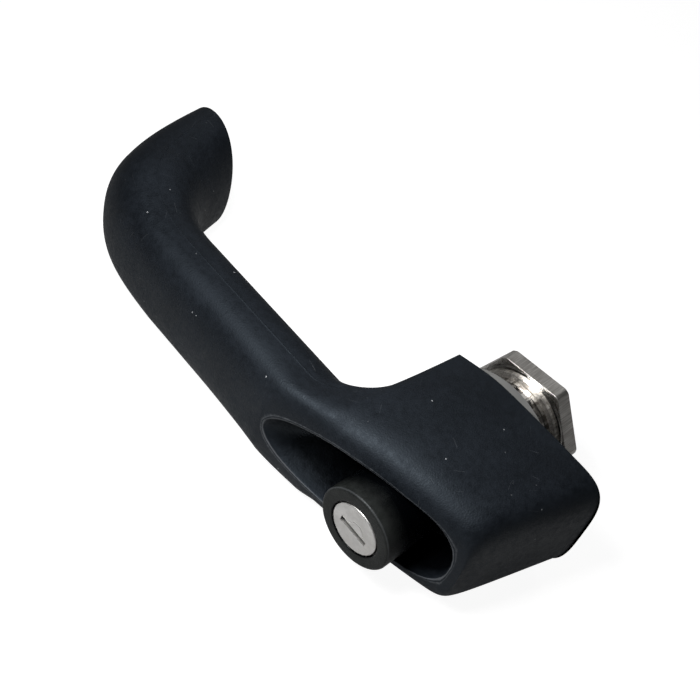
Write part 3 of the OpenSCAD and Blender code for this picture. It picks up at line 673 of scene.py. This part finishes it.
# foot end: a flat face round the screw insert, and the insert's hole
footRing = skin[0]
footMid = np.array([-handle["pitch"], 0, 0])
holeEnd = footMid - np.array([0, handle["insertDeep"], 0])
footAngle = np.arctan2(footRing[:, 2], footRing[:, 0] + handle["pitch"])
hole = footMid + circleAt(footAngle, handle["insertR"], 0.0)
footFace = mix(footRing, hole, np.linspace(0, 1, patchRows["footFace"])[:, None, None])
footHole = hole + (holeEnd - footMid) * stepsTo(patchRows["footHole"])
footPatch = np.concatenate([footFace, footHole])

points = np.concatenate([skin.reshape(-1, 3), well.reshape(-1, 3), backPatch.reshape(-1, 3),
                         footPatch.reshape(-1, 3), [holeEnd]])
wellStart = rows * cols
backStart = wellStart + well.shape[0] * well.shape[1]
footStart = backStart + backPatch.shape[0] * backPatch.shape[1]
faces = [*skinQuads, *gridQuads(*well.shape[:2], start=wellStart),
         *gridQuads(*backPatch.shape[:2], start=backStart), *gridQuads(*footPatch.shape[:2], start=footStart),
         *fanTris(footStart + (len(footPatch) - 1) * cols + np.arange(cols), len(points) - 1)]
rubMask = np.zeros(len(points))
rubMask[wellStart:backStart] = np.repeat(wellRub, well.shape[1])
# painted shade mask: the recess wall, floor, bore and cup are painted darker
hollowShadeMask = np.zeros(len(points))
hollowShadeMask[wellStart:backStart] = np.repeat(wellPaintedShade, well.shape[1])
handleSkin = makePiece("handleSkin", points, faces, "handle", "black_moulding", ["handle_body"],
                       sharp=38.0, masks={"rub": rubMask, "hollowPaintedShade": hollowShadeMask}, bridged=True)
print("handle skin:", len(handleSkin.data.polygons), "faces")


# round pieces on the lock axis: an outline of (radius, y) points carried round
def revolve(outline, turns=128, cut=0.0):
    r, y = np.asarray(outline, float).T
    a = np.linspace(0, 2 * np.pi, turns, endpoint=False)
    reachR = r[:, None] - cut
    grid = np.stack(np.broadcast_arrays(reachR * np.cos(a), y[:, None], reachR * np.sin(a)), axis=-1)
    return np.concatenate([grid, grid[:1]])


def arcPoints(r, y, radius, first, last, steps):
    # an arc of a circle for an outline, between two angles in degrees
    a = np.radians(np.linspace(first, last, steps))
    return np.stack([r + radius * np.cos(a), y + radius * np.sin(a)], axis=-1)


# push button: a flat ring round the lock face with a soft, rubbed outer edge
button = dict(faceY=-48.578, outR=11.4, holeR=7.7, edge=0.8, lip=0.3, capT=2.2, sleeveR=9.05, endY=-17.7,
              midShift=0.3, sideGap=0.6, lipRows=5, edgeRows=15, sideRows=12,
              rubMid=0.62, rubWide=0.22, shadeRows=1.5)
faceY, capY = button["faceY"], button["faceY"] + button["capT"]
lip, edge = button["lip"], button["edge"]
lipArc = arcPoints(button["holeR"] + lip, faceY + lip, lip, 180, 270, button["lipRows"])
edgeArc = arcPoints(button["outR"] - edge, faceY + edge, edge, -90, 0, button["edgeRows"])
sideY = np.linspace(faceY + edge + button["sideGap"], button["endY"], button["sideRows"])
ringMid = 0.5 * (button["holeR"] + button["outR"]) - button["midShift"]
outline = np.concatenate([[[button["holeR"], capY]], lipArc, [[ringMid, faceY]], edgeArc,
                          np.c_[np.full(len(sideY), button["outR"]), sideY],
                          [[button["sleeveR"], button["endY"]], [button["sleeveR"], capY]]])
capGrid = revolve(outline)
edgeStart = len(lipArc) + 2
sideStart = edgeStart + len(edgeArc)
capRub = np.zeros(len(capGrid))
edgeT = np.linspace(0, 1, len(edgeArc))
capRub[edgeStart:sideStart] = np.exp(-((edgeT - button["rubMid"]) / button["rubWide"]) ** 2)
# painted shade: the lip into the hole and the button's side are painted darker
capPaintedShade = np.zeros(len(capGrid))
capPaintedShade[:len(lipArc)] = 1.0
capPaintedShade[sideStart:sideStart + len(sideY)] = np.clip(np.arange(len(sideY)) / button["shadeRows"], 0, 1)
capMasks = {"rub": np.repeat(capRub, capGrid.shape[1]), "hollowPaintedShade": np.repeat(capPaintedShade, capGrid.shape[1])}
makePiece("buttonCap", capGrid.reshape(-1, 3), gridQuads(*capGrid.shape[:2]),
          "button", "button_moulding", ["push_button"], masks=capMasks)

# lock barrel: cup, plain pilot and a cut thread that fades at both ends
barrel = dict(cupR=15.0, cupIn=13.0, anchorR=14.2, anchorY=-12.0, anchorT=3.0, guideY=-18.0, stepY=-3.7,
              pilotR=13.0, pilotY=11.7, pilotEdge=0.3, endY=21.15, chamfer=0.8, springR=10.0, seatY=8.1,
              bushR=7.05, bushEdge=0.4, threadR=12.0, threadPitch=1.5, threadDeep=0.6, threadFrom=0.05,
              threadStep=0.125, fadeFrom=0.3, fadeRun=0.8, flankGain=1.25, flankCut=0.1,
              ribIn=11.8, ribHalf=1.5, ribGap=0.1, ribSunk=0.4, steps=160)
anchorEnd = barrel["anchorY"] + barrel["anchorT"]
threadY = np.arange(barrel["pilotY"] + barrel["threadFrom"], barrel["endY"] - barrel["chamfer"],
                    barrel["threadStep"])
before = np.array([[barrel["cupIn"], barrel["guideY"]], [barrel["cupR"], barrel["guideY"]],
                   [barrel["cupR"], barrel["anchorY"]], [barrel["anchorR"], barrel["anchorY"]],
                   [barrel["anchorR"], anchorEnd], [barrel["cupR"], anchorEnd], [barrel["cupR"], 0.0],
                   [barrel["pilotR"], 0.0], [barrel["pilotR"], barrel["pilotY"] - barrel["pilotEdge"]],
                   [barrel["pilotR"] - barrel["pilotEdge"], barrel["pilotY"]],
                   [barrel["threadR"], barrel["pilotY"]]])
pilotRows = slice(7, 9)  # of the outline above
after = np.array([[barrel["threadR"] - barrel["chamfer"], barrel["endY"]],
                  [barrel["bushR"] + barrel["bushEdge"], barrel["endY"]],
                  [barrel["bushR"], barrel["endY"] - barrel["bushEdge"]], [barrel["bushR"], barrel["seatY"]],
                  [barrel["springR"], barrel["seatY"]], [barrel["springR"], barrel["stepY"]],
                  [barrel["cupIn"], barrel["stepY"]]])
around = np.linspace(0, 1, barrel["steps"], endpoint=False)
saw = np.abs(2 * ((threadY[:, None] / barrel["threadPitch"] + around) % 1) - 1)
flank = np.clip(barrel["flankGain"] * saw - barrel["flankCut"], 0, 1)
fromPilot = threadY - barrel["pilotY"] - barrel["fadeFrom"]
fromEnd = threadY[-1] + barrel["fadeFrom"] - threadY
fade = np.clip(np.minimum(fromPilot, fromEnd) / barrel["fadeRun"], 0, 1)
cutDepth = np.zeros((len(before) + len(threadY) + len(after), len(around)))
cutDepth[len(before):len(before) + len(threadY)] = barrel["threadDeep"] * fade[:, None] * flank
barrelOutline = np.concatenate([before, np.c_[np.full(len(threadY), barrel["threadR"]), threadY], after])
barrelGrid = revolve(barrelOutline, len(around), cutDepth)
barrelPoints = barrelGrid.reshape(-1, 3)
# a rib in the cup guides the button
corner = np.array([[i, j, k] for i in (0, 1) for j in (0, 1) for k in (0, 1)], float)
ribLow = np.array([barrel["ribIn"], barrel["guideY"] + barrel["ribGap"], -barrel["ribHalf"]])
ribHigh = np.array([barrel["cupIn"] + barrel["ribSunk"], barrel["stepY"] + barrel["ribGap"],
                    barrel["ribHalf"]])
ribFaces = np.array([[0, 1, 3, 2], [4, 6, 7, 5], [0, 4, 5, 1], [2, 3, 7, 6], [0, 2, 6, 4], [1, 5, 7, 3]])
# the turned pilot rows carry the painted reflection bands
turnedRows = np.zeros(len(barrelGrid))
turnedRows[pilotRows] = 1.0
turnedMask = np.concatenate([np.repeat(turnedRows, len(around)), np.zeros(len(corner))])
makePiece("barrelTurned", np.concatenate([barrelPoints, mix(ribLow, ribHigh, corner)]),
          [*gridQuads(*barrelGrid.shape[:2]), *(ribFaces + len(barrelPoints))],
          "handle", "barrel_chrome", ["barrel"], sharp=30.0, masks={"turned": turnedMask})

# clamp nut: a hexagon with clipped corners and a round raised face towards the door
nut = dict(wide=32.0, thick=5.15, nearY=12.5, turn=6.0, boreR=12.05, lead=0.6, faceR=15.8, faceT=0.5,
           clip=0.4, soft=0.2, softAngle=24.0, steps=240)
nutA = np.radians(nut["turn"]) + np.linspace(0, 2 * np.pi, nut["steps"], endpoint=False)
sixth = np.radians(60)
hexR = nut["wide"] / 2 / np.cos((nutA - np.radians(nut["turn"])) % sixth - sixth / 2)
hexR = np.minimum(hexR, nut["wide"] / 2 / math.cos(sixth / 2) - nut["clip"])
roundRadii = (nut["boreR"], nut["boreR"] + nut["lead"], nut["faceR"])
boreR, leadR, faceR = (np.full(nut["steps"], r) for r in roundRadii)
nutR = np.array([boreR, leadR, faceR, faceR, hexR, hexR, leadR, boreR])
nutRise = np.array([nut["lead"], 0, 0, nut["faceT"], nut["faceT"], nut["thick"], nut["thick"],
                    nut["thick"] - nut["lead"]])
nutY = nut["nearY"] + nutRise[:, None] + 0 * nutR
nutGrid = np.stack([nutR * np.cos(nutA), nutY, nutR * np.sin(nutA)], axis=-1)
nutGrid = np.concatenate([nutGrid, nutGrid[:1]])
nutPolish = [1.0, 1, 1, 1, 0, 0, 0, 0, 1]  # the raised face and the bore beside it
nutPiece = makePiece("nutTrimmed", nutGrid.reshape(-1, 3), gridQuads(*nutGrid.shape[:2]),
                     "handle", "nickel_steel", ["clamp_nut"], sharp=22.0,
                     masks={"polish": np.repeat(nutPolish, nut["steps"])})
softened = nutPiece.modifiers.new("softEdges", "BEVEL")
softened.width = nut["soft"] * 0.001
softened.segments = 2
softened.limit_method = "ANGLE"
softened.angle_limit = math.radians(nut["softAngle"])

# return spring: a round wire carried along a helix whose end turns lie close;
# the button presses it shorter
spring = dict(turns=6.5, wire=1.3, coilR=9.0, lowY=-14.65, highY=7.25, fixedY=7.3, travel=8.0,
              closeTurns=0.6, closePitch=1.02, steps=36, sides=12)
turnAt = np.linspace(0, spring["turns"], int(spring["turns"] * spring["steps"]) + 1)
opened = ease(np.clip(2 * (np.minimum(turnAt, spring["turns"] - turnAt) - spring["closeTurns"]), 0, 1))
openedSum = np.concatenate([[0], np.cumsum(0.5 * (opened[1:] + opened[:-1]) * np.diff(turnAt))])
closedSum = spring["closePitch"] * spring["wire"] * turnAt
coilRoom = spring["highY"] - spring["lowY"] - spring["wire"]
openRise = openedSum * (coilRoom - closedSum[-1]) / openedSum[-1]
wireY = spring["lowY"] + spring["wire"] / 2 + closedSum + openRise
wireA = np.linspace(0, 2 * np.pi, spring["sides"], endpoint=False)
wireR = spring["coilR"] + spring["wire"] / 2 * np.cos(wireA)
wireRise = wireY[:, None] + spring["wire"] / 2 * np.sin(wireA)
coilA = 2 * np.pi * turnAt[:, None]
coilGrid = np.stack([wireR * np.cos(coilA), wireRise, -wireR * np.sin(coilA)], axis=-1)
coilEnds = coilGrid[[0, -1]].mean(axis=1)
endRing = np.arange(spring["sides"])
coilCount = coilGrid.shape[0] * spring["sides"]
coilPiece = makePiece("returnCoil", np.concatenate([coilGrid.reshape(-1, 3), coilEnds]),
                      [*gridQuads(*coilGrid.shape[:2]), *fanTris(endRing, coilCount),
                       *fanTris(endRing + coilCount - spring["sides"], coilCount + 1)],
                      "handle", "spring_steel", ["return_spring"])
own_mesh(coilPiece)
print("round pieces: button, barrel, nut, spring")


# camera at the angle of the 700 by 700 photograph
shot = dict(place=(66.26, -183.17, 221.78), right=(0.66159, 0.71335, 0.23115),
            down=(0.65757, -0.40374, -0.63607), ahead=(-0.36042, 0.57282, -0.73619),
            focalPx=1100.0, widthPx=700.0, sensor=36.0)
cameraData = bpy.data.cameras.new("shot")
cameraData.sensor_width = shot["sensor"]
cameraData.lens = shot["focalPx"] / shot["widthPx"] * shot["sensor"]
cameraData.clip_start = 0.01
camera = bpy.data.objects.new("shot", cameraData)
scene.collection.objects.link(camera)
axes = np.array([shot["right"], -np.array(shot["down"]), -np.array(shot["ahead"])]).T
squared, lengths = np.linalg.qr(axes)
turnMatrix = np.eye(4)
turnMatrix[:3, :3] = squared * np.sign(np.diag(lengths))
turnMatrix[:3, 3] = np.array(shot["place"]) * 0.001
camera.matrix_world = Matrix(turnMatrix.tolist())
scene.camera = camera

# floor, world and soft lights, in metres and watts
studio = dict(floorZ=-0.0225, hubR=0.02, flatR=1.0, farR=3.0, rise=1.6, rings=40, spokes=64,
              floorTone=0.38, floorRough=0.9, floorGlow=0.93, floorGloss=0.10, worldLight=0.03)
lamps = dict(keySoft=dict(place=(-0.047, -0.116, 0.160), aim=(-0.02, -0.04, 0.01), size=0.08, power=0.43),
             backSoft=dict(place=(-0.08, 0.27, 0.38), aim=(-0.045, -0.02, 0.0), size=0.20, power=0.095),
             leftSoft=dict(place=(-0.33, 0.22, 0.25), aim=(-0.045, -0.02, 0.0), size=0.20, power=0.08))


def stageMaterial(name):
    # a pale grey floor that looks white to the camera, and fainter in mirrors
    material = bpy.data.materials.new(name)
    material.use_nodes = True
    tree = material.node_tree
    shader = tree.nodes["Principled BSDF"]
    shader.inputs["Base Color"].default_value = (*[studio["floorTone"]] * 3, 1)
    shader.inputs["Roughness"].default_value = studio["floorRough"]
    shader.inputs["Specular IOR Level"].default_value = 0.0
    path = tree.nodes.new("ShaderNodeLightPath")
    mirrored = calc(tree, "MAXIMUM", path.outputs["Is Glossy Ray"], path.outputs["Is Transmission Ray"])
    looked = calc(tree, "MULTIPLY_ADD", path.outputs["Is Camera Ray"], studio["floorGlow"],
                  calc(tree, "MULTIPLY", mirrored, studio["floorGloss"]))
    glow = node(tree, "ShaderNodeEmission", Color=(1, 1, 1, 1))
    tree.links.new(looked, glow.inputs["Strength"])
    blend = tree.nodes.new("ShaderNodeAddShader")
    tree.links.new(shader.outputs[0], blend.inputs[0])
    tree.links.new(glow.outputs[0], blend.inputs[1])
    tree.links.new(blend.outputs[0], tree.nodes["Material Output"].inputs["Surface"])
    return material


# the floor is flat out to flatR, and from there rises with the square of the distance as a backdrop
rings, spokes = studio["rings"], studio["spokes"]
floorMesh = bpy.data.meshes.new("floor")
floorR, floorA = np.meshgrid(np.linspace(studio["hubR"], studio["farR"], rings),
                             np.linspace(0, 2 * np.pi, spokes, endpoint=False), indexing="ij")
climb = np.clip((floorR - studio["flatR"]) / (studio["farR"] - studio["flatR"]), 0, 1)
floorHigh = studio["floorZ"] + studio["rise"] * climb ** 2
floorPoints = np.stack([floorR * np.cos(floorA), floorR * np.sin(floorA), floorHigh], axis=-1)
floorFaces = [*gridQuads(rings, spokes), *fanTris(np.arange(spokes), rings * spokes)]
floorMesh.from_pydata([*floorPoints.reshape(-1, 3), (0, 0, studio["floorZ"])], [],
                      [list(map(int, f)) for f in floorFaces])
floorMesh.polygons.foreach_set("use_smooth", np.ones(len(floorMesh.polygons), bool))
floor = bpy.data.objects.new("floor", floorMesh)
scene.collection.objects.link(floor)
floorMesh.materials.append(stageMaterial("paleFloor"))

world = bpy.data.worlds.new("studio")
scene.world = world
world.use_nodes = True
sky = world.node_tree.nodes["Background"]
sky.inputs["Color"].default_value = (1, 1, 1, 1)
sky.inputs["Strength"].default_value = studio["worldLight"]


def softLight(name, place, aim, size, power):
    # a square lamp at its place, turned to face its aim
    data = bpy.data.lights.new(name, "AREA")
    data.shape = "RECTANGLE"
    data.size = size
    data.size_y = size
    data.energy = power
    lamp = bpy.data.objects.new(name, data)
    scene.collection.objects.link(lamp)
    away = np.array(place, float) - np.array(aim, float)
    away /= np.linalg.norm(away)
    side = np.cross([0, 0, 1], away)
    side /= np.linalg.norm(side)
    frameAxes = np.eye(4)
    frameAxes[:3, :3] = np.c_[side, np.cross(away, side), away]
    frameAxes[:3, 3] = place
    lamp.matrix_world = Matrix(frameAxes.tolist())


for lampName, lampValues in lamps.items():
    softLight(lampName, **lampValues)
print("studio: floor, camera and", len(lamps), "lamps")

scene.view_settings.view_transform = "Standard"
